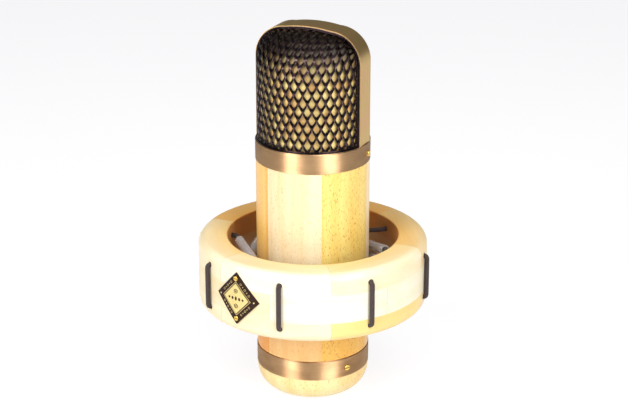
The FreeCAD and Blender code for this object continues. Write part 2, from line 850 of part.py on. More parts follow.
def badge_plate():
    plate = badge_layer(1.0, ring_outer_r, badge_face_r)
    for place in badge_screw_places():
        through = V(place.x, place.y, 0) * 0.1
        plate = plate.cut(rod(badge_screw_r + screw_clearance, place - through, place + through))
    return plate


save_on_mount("badge_plate", badge_plate())
save_on_mount("badge_inlay", badge_layer(inlay_share, badge_face_r,
                                         badge_face_r + inlay_thickness))
save_on_mount("badge_screws", *[
    screw(place, V(place.x, place.y, 0), badge_screw_r, badge_screw_length, badge_screw_head_r,
          badge_screw_head_height) for place in badge_screw_places()])


# ---- stand fitting ------------------------------------------------------------------
def bracket():
    outer_y = ring_outer_r + bracket_thickness
    plate = box(-bracket_half_width, bracket_half_width, ring_outer_r - bracket_thickness, outer_y,
                ring_middle_z - bracket_half_height, ring_middle_z + bracket_half_height)
    corners = [edge for edge in plate.Edges if abs(edge.BoundBox.YLength - 2 * bracket_thickness)
               < 0.01]
    plate = plate.makeFillet(bracket_fillet, corners)
    plate = plate.cut(cylinder(ring_outer_r, ring_z - overcut, ring_top + overcut))
    for side in (-1, 1):
        near = side * ear_gap_half
        low, high = min(near, near + side * ear_thickness), max(near, near + side * ear_thickness)
        ear = box(low, high, outer_y, bolt_y, ring_middle_z - ear_r, ring_middle_z + ear_r)
        ear = ear.fuse(rod(ear_r, V(low, bolt_y, ring_middle_z), V(high, bolt_y, ring_middle_z)))
        plate = plate.fuse(ear)
    plate = plate.removeSplitter()
    plate = plate.cut(across(bolt_r + running_clearance, -2 * bracket_half_width,
                             2 * bracket_half_width))
    for place in bracket_screw_places():
        plate = plate.cut(rod(wood_screw_r + screw_clearance, place - V(0, 2 * bracket_thickness, 0),
                              place + V(0, 1, 0)))
    return plate


def across(radius, x_low, x_high):
    return rod(radius, V(x_low, bolt_y, ring_middle_z), V(x_high, bolt_y, ring_middle_z))


def stand_adaptor():
    half = ear_gap_half - slip_clearance
    tongue = across(ear_r, -half, half)
    neck = box(-half, half, bolt_y - ear_r, bolt_y + ear_r, adaptor_top - overcut, ring_middle_z)
    socket = cylinder(adaptor_r, adaptor_bottom, adaptor_top, 0, bolt_y)
    rims = [edge for edge in socket.Edges if edge.isClosed()]
    socket = socket.makeFillet(adaptor_fillet, rims)
    body = tongue.fuse(neck).fuse(socket).removeSplitter()
    body = body.cut(across(bolt_r + running_clearance, -2 * half, 2 * half))
    return body.cut(cylinder(thread_r + thread_wall + seat_clearance, adaptor_bottom - overcut,
                             adaptor_bottom + thread_length, 0, bolt_y))


def knob():
    low = ear_face + washer_thickness
    high = low + knob_length
    body = across(knob_r, low, high)
    for number in range(knob_lobes):
        angle = radians(360 / knob_lobes * number)
        y = bolt_y + knob_hollow_reach * knob_r * cos(angle)
        z = ring_middle_z + knob_hollow_reach * knob_r * sin(angle)
        body = body.cut(rod(knob_hollow_share * knob_r, V(low - overcut, y, z),
                            V(high + overcut, y, z)))
    return body.cut(across(bolt_r + seat_clearance, low - overcut, high - 2))


def nut():
    low = -ear_face - nut_thickness
    corner = nut_across_flats / 2 / cos(radians(30))
    points = [V(low, bolt_y + corner * cos(radians(60 * n)),
                ring_middle_z + corner * sin(radians(60 * n))) for n in range(6)]
    body = prism(points, V(nut_thickness, 0, 0))
    return body.cut(across(bolt_r + running_clearance, low - overcut, 0))


def washer():
    flat_ring = across(washer_r, ear_face, ear_face + washer_thickness)
    return flat_ring.cut(across(bolt_r + seat_clearance, 0, 2 * ear_face))


save_on_mount("bracket", bracket())
save_on_mount("bracket_screws", *[
    screw(place, AXIS_Y, wood_screw_r, bracket_screw_depth, wood_screw_head_r,
          bracket_screw_head_height) for place in bracket_screw_places()])
save_on_mount("stand_adaptor", stand_adaptor())
save_on_mount("thread_insert", tube(thread_r + thread_wall, thread_r, adaptor_bottom,
                                    adaptor_bottom + thread_length, 0, bolt_y))
save_on_mount("clamp_bolt", across(bolt_r, -ear_face - nut_thickness - 1,
                                   ear_face + washer_thickness + knob_length - 2))
save_on_mount("clamp_washer", washer())
save_on_mount("clamp_knob", knob())
save_on_mount("clamp_nut", nut())
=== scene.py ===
import json
from math import acos, atan2, cos, pi, radians, sin, sqrt

import bmesh
import bpy
from mathutils import Matrix, Vector


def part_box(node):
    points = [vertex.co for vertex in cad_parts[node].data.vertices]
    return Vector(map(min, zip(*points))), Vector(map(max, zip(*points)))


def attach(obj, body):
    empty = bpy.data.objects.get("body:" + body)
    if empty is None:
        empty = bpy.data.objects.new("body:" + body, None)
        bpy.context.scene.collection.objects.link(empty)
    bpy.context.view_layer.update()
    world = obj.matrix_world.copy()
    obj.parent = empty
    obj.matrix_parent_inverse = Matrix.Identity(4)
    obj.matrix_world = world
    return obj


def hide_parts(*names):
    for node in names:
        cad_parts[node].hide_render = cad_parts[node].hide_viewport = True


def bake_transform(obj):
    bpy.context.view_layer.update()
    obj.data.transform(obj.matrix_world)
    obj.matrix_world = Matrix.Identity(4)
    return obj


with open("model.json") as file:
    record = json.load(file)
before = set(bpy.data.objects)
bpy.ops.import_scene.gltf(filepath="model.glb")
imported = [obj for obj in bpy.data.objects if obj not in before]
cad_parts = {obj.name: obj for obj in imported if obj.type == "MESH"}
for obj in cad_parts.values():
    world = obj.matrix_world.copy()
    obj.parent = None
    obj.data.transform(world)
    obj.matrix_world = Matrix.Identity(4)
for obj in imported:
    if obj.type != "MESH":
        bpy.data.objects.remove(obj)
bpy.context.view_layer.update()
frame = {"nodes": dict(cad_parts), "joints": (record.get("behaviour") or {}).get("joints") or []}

MM = 0.001
UP = Vector((0, 0, 1))
nodes = frame["nodes"]

# ---- places taken from the frame ----------------------------------------------------
_, band_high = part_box("upper_band")
hoop_low, hoop_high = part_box("head_hoop")
head_foot_z = band_high.z
hoop_thickness = 1.3 * MM
hoop_crown = 1.2 * MM
hoop_corner = 17.7 * MM
joint_of = {joint["name"]: joint for joint in frame["joints"]}
mount_turn = atan2(joint_of["stand_tilt"]["axis"][1], joint_of["stand_tilt"]["axis"][0])
ring_low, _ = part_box("ring_layer_bottom")
_, ring_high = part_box("ring_layer_top")
ring_outer = 63.5 * MM
ring_inner = 47.4 * MM
ring_middle_z = (ring_low.z + ring_high.z) / 2


# ---- shader helpers -----------------------------------------------------------------
def linear(red, green, blue):
    """An sRGB colour, 0 to 255, as the linear values a shader takes."""
    shares = [value / 255 for value in (red, green, blue)]
    return tuple(s / 12.92 if s < 0.04045 else ((s + 0.055) / 1.055) ** 2.4
                 for s in shares) + (1,)


class Finish:
    """A material and short ways to add nodes to it."""

    def __init__(self, name, colour, roughness, metallic=0.0):
        self.material = bpy.data.materials.new(name)
        self.material.use_nodes = True
        self.tree = self.material.node_tree
        self.shader = self.tree.nodes["Principled BSDF"]
        self.put("Base Color", colour)
        self.put("Roughness", roughness)
        self.put("Metallic", metallic)

    def put(self, socket, value):
        if isinstance(value, bpy.types.NodeSocket):
            self.tree.links.new(value, self.shader.inputs[socket])
        else:
            self.shader.inputs[socket].default_value = value

    def add(self, kind, inputs=(), **settings):
        made = self.tree.nodes.new("ShaderNode" + kind)
        for key, value in settings.items():
            setattr(made, key, value)
        for key, value in dict(inputs).items():
            if isinstance(value, bpy.types.NodeSocket):
                self.tree.links.new(value, made.inputs[key])
            else:
                made.inputs[key].default_value = value
        return made

    def place(self, scale=(1, 1, 1), turn=(0, 0, 0), source="Object"):
        """Object coordinates in millimetres, scaled and turned."""
        raw = self.add("TexCoord").outputs[source]
        size = 1 / MM if source == "Object" else 1
        return self.add("Mapping", {"Vector": raw, "Scale": [size * s for s in scale],
                                    "Rotation": turn}).outputs[0]

    def stretch(self, vector, scale):
        return self.add("Mapping", {"Vector": vector, "Scale": scale}).outputs[0]

    def noise(self, vector, scale=1.0, detail=3.0, rough=0.55):
        return self.add("TexNoise", {"Vector": vector, "Scale": scale, "Detail": detail,
                                     "Roughness": rough}).outputs["Fac"]

    def sum(self, operation, first, second=0.0, third=0.0, clamp=False):
        return self.add("Math", {0: first, 1: second, 2: third}, operation=operation,
                        use_clamp=clamp).outputs[0]

    def between(self, value, low, high, to_low=0.0, to_high=1.0):
        return self.add("MapRange", {"Value": value, "From Min": low, "From Max": high,
                                     "To Min": to_low, "To Max": to_high}).outputs[0]

    def mix(self, factor, first, second, blend="MIX"):
        made = self.add("Mix", {0: factor, 6: first, 7: second}, data_type="RGBA",
                        blend_type=blend)
        return made.outputs[2]

    def bump(self, height, strength, distance):
        normal = self.add("Bump", {"Height": height, "Strength": strength,
                                   "Distance": distance}).outputs[0]
        self.put("Normal", normal)


# ---- wood ---------------------------------------------------------------------------
wood_depth = 0.74
# Heights between which the painted shade under the ring fades out on the staves.
foot_low_z = 42 * MM
foot_high_z = 84 * MM
glue_line = 0.0035


def timber(red, green, blue):
    """A wood tone, a little deeper than it looks under strong light."""
    return tuple(wood_depth * value for value in linear(red, green, blue)[:3]) + (1,)


def grain(finish, along_z, light, dark, flecks):
    """Beech figure on coordinates in millimetres whose Z runs along the grain.

    flecks says how strongly the short dark rays of the wood show.
    """
    broad = finish.noise(finish.stretch(along_z, (0.11, 0.11, 0.006)), 1.0, 3.0)
    fibres = finish.noise(finish.stretch(along_z, (1.6, 1.6, 0.05)), 1.0, 4.0, 0.65)
    vessels = finish.noise(finish.stretch(along_z, (3.4, 3.4, 0.34)), 1.0, 2.0)
    rays = finish.noise(finish.stretch(along_z, (2.1, 2.1, 0.55)), 1.0, 1.0)
    figure = finish.between(broad, 0.36, 0.66)
    fibre_shade = finish.between(fibres, 0.3, 0.7, -0.22, 0.22)
    shade = finish.sum("ADD", figure, fibre_shade, clamp=True)
    colour = finish.mix(shade, light, dark)
    fleck = finish.sum("MULTIPLY", finish.between(rays, 0.585, 0.70), flecks)
    deep = (0.60 * dark[0], 0.38 * dark[1], 0.30 * dark[2], 1)
    colour = finish.mix(fleck, colour, deep)
    pore = finish.between(vessels, 0.60, 0.75, 0.0, 0.35)
    colour = finish.mix(pore, colour, dark)
    finish.put("Base Color", colour)
    finish.put("Roughness", finish.between(fibres, 0.3, 0.7, 0.34, 0.5))
    finish.put("Specular IOR Level", 0.45)
    finish.put("Coat Weight", 0.12)
    finish.put("Coat Roughness", 0.3)
    relief = finish.sum("MULTIPLY_ADD", fibres, 0.6, finish.sum("MULTIPLY", fleck, -0.8))
    finish.bump(relief, 0.25, 0.12 * MM)


def stave_wood(number, light, dark, flecks, painted_shade=0.75):
    """Upright beech with painted shade from the ring that darkens it to amber toward its foot."""
    finish = Finish(f"beech stave {number}", light, 0.4)
    shift = (7.3 * number, 3.1 * number, 41.0 * number)
    raw = finish.add("TexCoord").outputs["Object"]
    placed = finish.add("Mapping", {"Vector": raw, "Scale": (1 / MM,) * 3, "Location": shift})
    grain(finish, placed.outputs[0], light, dark, flecks)
    figured = finish.shader.inputs["Base Color"].links[0].from_socket
    height = finish.add("SeparateXYZ", {"Vector": raw}).outputs[2]
    # Painted shade: a warm darkening that stands in for the ring's shadow, strongest toward the
    # foot.
    foot = finish.between(height, foot_low_z, foot_high_z, painted_shade, 0.0)
    finish.put("Base Color", finish.mix(foot, figured, linear(255, 212, 146), "MULTIPLY"))
    return finish.material


def ring_wood(course, first_angle, share, tones):
    """Brick-laid segments: each has its own tone and its own run of grain."""
    finish = Finish(f"ring segments {course}", linear(250, 226, 176), 0.4)
    flat = finish.place()
    parts = finish.add("SeparateXYZ", {"Vector": flat})
    angle = finish.sum("ARCTAN2", parts.outputs[1], parts.outputs[0])
    steps = finish.sum("DIVIDE", finish.sum("SUBTRACT", angle, first_angle - 4 * pi), share)
    number = finish.sum("FLOOR", steps)
    middle = finish.sum("MULTIPLY_ADD", finish.sum("ADD", number, 0.5), share,
                        first_angle - 4 * pi)
    back_turn = finish.sum("MULTIPLY", middle, -1)
    turned = finish.add("VectorRotate", {"Vector": flat, "Angle": back_turn},
                        rotation_type="Z_AXIS").outputs[0]
    local = finish.add("SeparateXYZ", {"Vector": turned})
    chance = finish.add("TexWhiteNoise", {"W": finish.sum("ADD", number, 17.0 * course)},
                        noise_dimensions="1D")
    shift = finish.sum("MULTIPLY", chance.outputs["Value"], 300.0)
    along = finish.add("CombineXYZ", {0: finish.sum("ADD", local.outputs[0], shift),
                                      1: finish.sum("ADD", local.outputs[2], shift),
                                      2: finish.sum("ADD", local.outputs[1], shift)}).outputs[0]
    grain(finish, along, timber(255, 253, 246), timber(253, 243, 220), 0.12)
    figured = finish.shader.inputs["Base Color"].links[0].from_socket
    count = len(tones)
    turn_share = finish.sum("DIVIDE", finish.sum("FLOORED_MODULO", number, float(count)), count)
    ramp = finish.add("ValToRGB", {"Fac": finish.sum("ADD", turn_share, 0.5 / count)})
    ramp.color_ramp.interpolation = "CONSTANT"
    while len(ramp.color_ramp.elements) < count:
        ramp.color_ramp.elements.new(0.5)
    for place, (stop, tone) in enumerate(zip(ramp.color_ramp.elements, tones)):
        stop.position = place / count
        stop.color = tone
    toned = finish.mix(1.0, figured, ramp.outputs["Color"], "MULTIPLY")
    squares = [finish.sum("POWER", parts.outputs[axis], 2.0) for axis in (0, 1)]
    radius = finish.sum("SQRT", finish.sum("ADD", *squares))
    bore = ring_inner / MM
    # Painted shade: the wall of the bore is darkened to a deep orange brown.
    inside = finish.between(radius, bore - 0.1, bore + 0.8, 1.0, 0.0)
    top = ring_high.z / MM
    # Painted shade: the top face is darkened and warmed toward the bore, where the body shades it.
    near_top = finish.between(parts.outputs[2], top - 1.0, top, 0.0, 1.0)
    toward_rim = finish.between(radius, bore + 0.6, bore + 14.6, 0.8, 0.2)
    painted_top_shade = finish.mix(1.0, toned, linear(255, 228, 160), "MULTIPLY")
    toned = finish.mix(finish.sum("MULTIPLY", near_top, toward_rim), toned, painted_top_shade)
    toned = finish.mix(inside, toned, finish.mix(1.0, toned, linear(214, 158, 92), "MULTIPLY"))
    glue = finish.sum("FRACT", steps)
    seam = finish.sum("MINIMUM", glue, finish.sum("SUBTRACT", 1.0, glue))
    line = finish.between(seam, 0.0, glue_line, 0.55, 0.0)
    finish.put("Base Color", finish.mix(line, toned, linear(176, 128, 74)))
    return finish.material


# ---- metals and small finishes ------------------------------------------------------
def brushed_brass(name, tangent_axis, colour, roughness, stretch):
    """Brass with fine turning marks round an axis; stretch draws its highlights out across them."""
    finish = Finish(name, colour, roughness, 1.0)
    scale = (0.05, 3.0, 0.05) if tangent_axis == "Y" else (0.04, 0.04, 5.0)
    streaks = finish.noise(finish.place(scale), 1.0, 4.0, 0.7)
    tarnish = finish.noise(finish.place((0.06, 0.06, 0.09)), 1.0, 3.0)
    warm = finish.mix(finish.between(tarnish, 0.4, 0.65, 0.0, 0.6), colour, linear(214, 166, 120))
    finish.put("Base Color", finish.mix(finish.between(streaks, 0.35, 0.65, 0.0, 0.16), warm,
                                        linear(120, 86, 60)))
    finish.put("Roughness", finish.between(streaks, 0.3, 0.7, roughness - 0.04,
                                           roughness + 0.04))
    finish.put("Anisotropic", stretch)
    tangent = finish.add("Tangent", direction_type="RADIAL", axis=tangent_axis)
    finish.put("Tangent", tangent.outputs[0])
    finish.put("Anisotropic Rotation", 0.25)
    finish.bump(streaks, 0.06, 0.05 * MM)
    return finish.material


def plain_metal(name, colour, roughness, worn=0.3):
    """Metal with dull patches; worn is how strongly they show."""
    finish = Finish(name, colour, roughness, 1.0)
    smudge = finish.noise(finish.place((0.3, 0.3, 0.3)), 1.0, 4.0)
    dull = tuple(0.62 * value for value in colour[:3]) + (1,)
    finish.put("Base Color", finish.mix(finish.between(smudge, 0.4, 0.7, 0.0, worn), colour,
                                        dull))
    finish.put("Roughness", finish.between(smudge, 0.3, 0.7, roughness * 0.8, roughness * 1.25))
    finish.bump(finish.noise(finish.place((2.5, 2.5, 2.5)), 1.0, 2.0), 0.05, 0.05 * MM)
    return finish.material


def moulded(name, colour, roughness, grain_size=3.0, relief=0.12):
    finish = Finish(name, colour, roughness)
    speck = finish.noise(finish.place((grain_size,) * 3), 1.0, 3.0)
    pale = tuple(min(1.0, 1.35 * value + 0.01) for value in colour[:3]) + (1,)
    finish.put("Base Color", finish.mix(finish.between(speck, 0.45, 0.75, 0.0, 0.5), colour,
                                        pale))
    finish.put("Roughness", finish.between(speck, 0.3, 0.7, roughness * 0.85,
                                           roughness * 1.15))
    finish.bump(speck, relief, 0.1 * MM)
    return finish.material


def mesh_bronze():
    finish = Finish("blackened bronze mesh", linear(52, 42, 50), 0.2, 1.0)
    smudge = finish.noise(finish.place((0.8, 0.8, 0.8)), 1.0, 3.0)
    finish.put("Base Color", finish.mix(finish.between(smudge, 0.4, 0.65), linear(14, 10, 16),
                                        linear(40, 30, 34)))
    finish.put("Roughness", finish.between(smudge, 0.3, 0.7, 0.10, 0.26))
    finish.bump(finish.noise(finish.place((2.2, 2.2, 2.2)), 1.0, 3.0), 0.5, 0.25 * MM)
    return finish.material


gauze_pitch = 0.55
shade_low, shade_high = 183.0, 200.0


def gauze_brass():
    """Woven wire on the piece's own UV map, in millimetres, with painted shade making it darker up
    under the mesh's roll.
    """
    finish = Finish("woven brass gauze", linear(232, 198, 128), 0.42, 0.15)
    threads = []
    for axis in (0, 1):
        uv = finish.place(source="UV")
        parts = finish.add("SeparateXYZ", {"Vector": uv})
        turns = finish.sum("MULTIPLY", parts.outputs[axis], 2 * pi / gauze_pitch)
        wave = finish.sum("SINE", turns)
        threads.append(finish.between(wave, -1.0, 1.0))
    weave = finish.sum("MAXIMUM", threads[0], threads[1])
    patches = finish.noise(finish.place((0.16, 0.16, 0.16)), 1.0, 3.0)
    warm = finish.mix(finish.between(patches, 0.38, 0.64), linear(255, 232, 148),
                      linear(222, 172, 100))
    woven = finish.mix(finish.between(weave, 0.3, 0.95, 0.5, 0.0), warm, linear(128, 90, 44))
    height = finish.add("SeparateXYZ", {"Vector": finish.place()}).outputs[2]
    # Painted shade: the gauze fades to near black toward the top of the head.
    shaded = finish.between(height, shade_low, shade_high, 0.0, 0.97)
    finish.put("Base Color", finish.mix(shaded, woven, linear(24, 17, 14)))
    finish.bump(weave, 0.5, 0.12 * MM)
    return finish.material


def braid():
    """Braided textile on the cord's own UV map: U round the cord, V along it in millimetres."""
    finish = Finish("braided elastic", linear(58, 44, 42), 0.72)
    uv = finish.place(source="UV")
    parts = finish.add("SeparateXYZ", {"Vector": uv})
    around = finish.sum("MULTIPLY", parts.outputs[0], 8.0)
    along = finish.sum("MULTIPLY", parts.outputs[1], 0.62)
    right = finish.sum("PINGPONG", finish.sum("ADD", around, along), 0.5)
    left = finish.sum("PINGPONG", finish.sum("SUBTRACT", around, along), 0.5)
    strands = finish.sum("MULTIPLY", finish.sum("MAXIMUM", right, left), 2.0)
    fuzz = finish.noise(finish.place((4.0, 4.0, 4.0)), 1.0, 3.0)
    tone = finish.mix(finish.between(strands, 0.45, 1.0), linear(20, 14, 14), linear(64, 48, 45))
    finish.put("Base Color", finish.mix(finish.between(fuzz, 0.35, 0.7, 0.0, 0.3), tone,
                                        linear(86, 66, 60)))
    finish.put("Sheen Weight", 0.12)
    finish.put("Sheen Roughness", 0.4)
    finish.bump(finish.sum("ADD", strands, finish.sum("MULTIPLY", fuzz, 0.4)), 0.6, 0.18 * MM)
    return finish.material


def silicone():
    finish = Finish("milky silicone tube", linear(244, 240, 240), 0.16)
    cloud = finish.noise(finish.place((0.4, 0.4, 0.4)), 1.0, 2.0)
    finish.put("Base Color", finish.mix(cloud, linear(250, 246, 244), linear(226, 220, 222)))
    finish.put("Transmission Weight", 0.68)
    finish.put("IOR", 1.41)
    finish.put("Coat Weight", 0.3)
    finish.put("Coat Roughness", 0.15)
    finish.bump(finish.noise(finish.place((1.2, 1.2, 0.3)), 1.0, 2.0), 0.08, 0.1 * MM)
    return finish.material


def clear_glass():
    finish = Finish("valve glass", (0.95, 0.97, 0.98, 1), 0.03)
    finish.put("Transmission Weight", 0.95)
    finish.put("IOR", 1.5)
    haze = finish.noise(finish.place((0.2, 0.2, 0.2)), 1.0, 2.0)
    finish.put("Roughness", finish.between(haze, 0.3, 0.7, 0.01, 0.08))
    return finish.material


def circuit_green():
    finish = Finish("circuit board", linear(24, 78, 44), 0.38)
    grid = finish.add("TexBrick", {"Vector": finish.place((0.25, 0.25, 0.25), (pi / 2, 0, 0)),
                                   "Color1": linear(22, 74, 42), "Color2": linear(30, 92, 52),
                                   "Mortar": linear(176, 150, 84), "Mortar Size": 0.03})
    finish.put("Base Color", grid.outputs["Color"])
    finish.bump(grid.outputs["Fac"], 0.2, 0.05 * MM)
    return finish.material


# ---- mesh helpers -------------------------------------------------------------------
def finished(name, shape, material, body=None, smooth=True):
    """Turns a bmesh into an object at the origin with one material."""
    data = bpy.data.meshes.new(name)
    shape.to_mesh(data)
    shape.free()
    for face in data.polygons:
        face.use_smooth = smooth
    data.materials.append(material)
    piece = bpy.data.objects.new(name, data)
    bpy.context.scene.collection.objects.link(piece)
    if body:
        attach(piece, body)
    return piece


def modifier(piece, kind, **settings):
    made = piece.modifiers.new(kind.title(), kind)
    for key, value in settings.items():
        setattr(made, key, value)
    return made


def paint(name, material):
    """Gives a CAD node its finish."""
    data = nodes[name].data
    data.materials.clear()
    data.materials.append(material)


def polar(radius, angle, z):
    return Vector((radius * cos(angle), radius * sin(angle), z))


# ---- the head's skin ----------------------------------------------------------------
skin_r = 29.9 * MM
skin_tuck_y = 5.8 * MM
roll_height = 24.0 * MM
skin_gap = 0.25 * MM
gauze_inset = 1.5 * MM
least_depth = 0.2 * MM
least_wall = 1.0 * MM
arch_half = hoop_high.x - hoop_thickness
arch_corner = hoop_corner - hoop_thickness
arch_shoulder_z = hoop_high.z - hoop_crown - hoop_thickness
arch_spring_z = arch_shoulder_z - arch_corner


def arch_height(x):
    """Height of the hoop's inner face over a point across the head."""
    inner = arch_half - arch_corner
    if abs(x) <= inner:
        return arch_shoulder_z + hoop_crown * (1 - (x / inner) ** 2)
    return arch_spring_z + sqrt(max(0.0, arch_corner ** 2 - (abs(x) - inner) ** 2))


def skin_column(across, inset):
    """One upright line of the skin: its place across, straight length, roll depth and height."""
    radius = skin_r - inset
    x = radius * sin(across / skin_r)
    reach = radius * cos(across / skin_r)
    depth = max(least_depth, reach - skin_tuck_y)
    top = arch_height(x) - inset - skin_gap
    rise = min(roll_height * sqrt(depth / (skin_r - skin_tuck_y)),
               top - head_foot_z - least_wall)
    straight = top - rise - head_foot_z
    return x, straight, depth, rise


def skin_length(across):
    _, straight, depth, rise = skin_column(across, 0)
    return straight + pi / 2 * sqrt((depth ** 2 + rise ** 2) / 2)


def skin_point(across, up, inset):
    """A point of the front skin, from its place on the flat sheet before bending."""
    x, straight, depth, rise = skin_column(across, inset)
    if up <= straight:
        return Vector((x, -(skin_tuck_y + depth), head_foot_z + up))
    arc = pi / 2 * sqrt((depth ** 2 + rise ** 2) / 2)
    turn = min(1.0, (up - straight) / arc) * pi / 2
    return Vector((x, -(skin_tuck_y + depth * cos(turn)),
                   head_foot_z + straight + rise * sin(turn)))


skin_half = skin_r * acos(skin_tuck_y / skin_r) - 0.2 * MM
diamond_across = 4.85 * MM
diamond_up = 9.2 * MM
strand_inset = 0.54 * MM
strand_tilt = 0.34 * MM
strand_thickness = 0.52 * MM
strand_bevel = 0.10 * MM
sheet_cells = 44
rim_width = 1.6 * MM
rim_lift = 0.15 * MM
foot_width = 1.0 * MM
flange_width = 0.95 * MM
flange_tuck = 0.6 * MM
flange_stand = 0.1 * MM
lip_r = 31.0 * MM
lip_tuck = 0.4 * MM
lip_lift = 0.35 * MM
lip_sweep = radians(152)


def bend_skin(shape):
    """Bends a flat sheet (x across, y up, z out of the sheet) over the head."""
    for vertex in shape.verts:
        across = max(-skin_half, min(skin_half, vertex.co.x))
        up = max(0.0, min(skin_length(across), vertex.co.y))
        vertex.co = skin_point(across, up, -vertex.co.z)


def diamond_sheet():
    """Expanded metal laid flat: staggered diamonds with tilted strands."""
    shape = bmesh.new()
    bmesh.ops.create_grid(shape, x_segments=sheet_cells, y_segments=sheet_cells,
                          size=sheet_cells / 2)
    bmesh.ops.rotate(shape, verts=shape.verts, matrix=Matrix.Rotation(pi / 4, 3, "Z"))
    bmesh.ops.scale(shape, verts=shape.verts,
                    vec=(diamond_across / sqrt(2), diamond_up / sqrt(2), 1))
    bmesh.ops.translate(shape, verts=shape.verts, vec=(0, 4 * diamond_up, 0))
    outside = []
    for face in shape.faces:
        middle = face.calc_center_median()
        past_side = abs(middle.x) > skin_half - 0.2 * diamond_across
        top = skin_length(max(-skin_half, min(skin_half, middle.x)))
        if past_side or not -0.2 * diamond_up < middle.y < top + 0.1 * diamond_up:
            outside.append(face)
    bmesh.ops.delete(shape, geom=outside, context="FACES")
    cells = list(shape.faces)
    bmesh.ops.inset_individual(shape, faces=cells, thickness=strand_inset,
                               use_even_offset=True)
    for cell in cells:
        middle = cell.calc_center_median()
        for vertex in cell.verts:
            vertex.co.z = strand_tilt * (vertex.co.y - middle.y) / (0.3 * diamond_up)
    bmesh.ops.delete(shape, geom=cells, context="FACES_ONLY")
    return shape


def add_rim(shape, corners_low, corners_high, steps):
    """A strip of plain sheet between two lines, each a function of 0 to 1."""
    strip = bmesh.ops.create_grid(shape, x_segments=steps, y_segments=1, size=0.5)["verts"]
    for vertex in strip:
        share = vertex.co.x + 0.5
        low, high = corners_low(share), corners_high(share)
        spot = low if vertex.co.y < 0 else high
        vertex.co = Vector((spot[0], spot[1], rim_lift))


def hoop_line(share, outward):
    """A point of the hoop's inner edge moved outward; share runs from one foot to the other."""
    side = -1 if share < 0.5 else 1
    climb = 1 - abs(2 * share - 1)
    inner_x = arch_half - arch_corner
    reach = arch_corner + outward
    if climb < 0.5:
        leg = arch_spring_z - head_foot_z
        return side * (arch_half + outward), head_foot_z + leg * 2 * climb
    if climb < 0.8:
        turn = (climb - 0.5) / 0.3 * pi / 2
        return side * (inner_x + reach * cos(turn)), arch_spring_z + reach * sin(turn)
    x = inner_x * (1 - climb) / 0.2
    return side * x, arch_height(x) + outward


def add_flange(shape):
    """The plain border folded flat over the hoop's front edge."""
    strip = bmesh.ops.create_grid(shape, x_segments=80, y_segments=1, size=0.5)["verts"]
    for vertex in strip:
        outward = flange_width if vertex.co.y > 0 else -flange_tuck
        x, z = hoop_line(vertex.co.x + 0.5, outward)
        vertex.co = Vector((x, hoop_low.y - flange_stand, z))


def add_lip(shape):
    """The plain foot of the mesh, turned out over the band."""
    strip = bmesh.ops.create_grid(shape, x_segments=64, y_segments=1, size=0.5)["verts"]
    for vertex in strip:
        radius = lip_r if vertex.co.y > 0 else skin_r - lip_tuck
        vertex.co = polar(radius, -pi / 2 + vertex.co.x * lip_sweep, head_foot_z + lip_lift)


def head_mesh():
    shape = diamond_sheet()
    for side in (-1, 1):
        edge = side * skin_half
        inner = side * (skin_half - rim_width)
        add_rim(shape, lambda s: (edge, s * skin_length(edge)),
                lambda s: (inner, s * skin_length(inner)), 24)

    def over(share):
        return (2 * share - 1) * skin_half

    add_rim(shape, lambda s: (over(s), skin_length(over(s))),
            lambda s: (over(s), skin_length(over(s)) - rim_width), 48)
    add_rim(shape, lambda s: (over(s), 0.0), lambda s: (over(s), foot_width), 48)
    bend_skin(shape)
    add_flange(shape)
    add_lip(shape)
    bmesh.ops.dissolve_degenerate(shape, dist=0.02 * MM, edges=shape.edges)
    bmesh.ops.recalc_face_normals(shape, faces=shape.faces)
    return shape


def head_gauze():
    """One smooth sheet under the mesh, with the flat sheet's millimetres as its UV map."""
    shape = bmesh.new()
    bmesh.ops.create_grid(shape, x_segments=64, y_segments=48, size=0.5)
    layer = shape.loops.layers.uv.new("UVMap")
    for face in shape.faces:
        for loop in face.loops:
            across = 2 * skin_half * loop.vert.co.x
            up = (loop.vert.co.y + 0.5) * skin_length(across)
            loop[layer].uv = (across / MM, up / MM)
    for vertex in shape.verts:
        across = 2 * skin_half * vertex.co.x
        up = (vertex.co.y + 0.5) * skin_length(across)
        vertex.co = skin_point(across, up, gauze_inset)
    return shape


def turned_copy(piece, name):
    """The same piece half a turn round, at the back of the head."""
    copy = piece.copy()
    copy.data = piece.data.copy()
    copy.name = name
    copy.parent = None
    copy.data.transform(Matrix.Rotation(pi, 4, "Z"))
    bpy.context.scene.collection.objects.link(copy)
    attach(copy, "microphone")
    return copy


def make_head():
    mesh_finish = mesh_bronze()
    gauze_finish = gauze_brass()
    front = finished("front_diamond_mesh", head_mesh(), mesh_finish, "microphone")
    modifier(front, "SOLIDIFY", thickness=strand_thickness, offset=0.0)
    # Painted glint: the bevelled strand edges take a lighter metal than the strands.
    front.data.materials.append(plain_metal("mesh edges with painted glint", linear(76, 60, 60), 0.18))
    modifier(front, "BEVEL", width=strand_bevel, segments=1, limit_method="ANGLE",
             angle_limit=radians(40), material=1)
    modifier(front, "SUBSURF", levels=1, render_levels=1)
    gauze = finished("front_woven_gauze", head_gauze(), gauze_finish, "microphone")
    modifier(gauze, "SOLIDIFY", thickness=0.25 * MM, offset=0.0)
    rear = turned_copy(front, "rear_diamond_mesh")
    rear_gauze = turned_copy(gauze, "rear_woven_gauze")
    for piece, node_name, slot_name in (
            (front, "front_mesh", "dark_mesh"), (rear, "rear_mesh", "dark_mesh"),
            (gauze, "front_gauze", "gauze"), (rear_gauze, "rear_gauze", "gauze")):
        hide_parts(node_name)


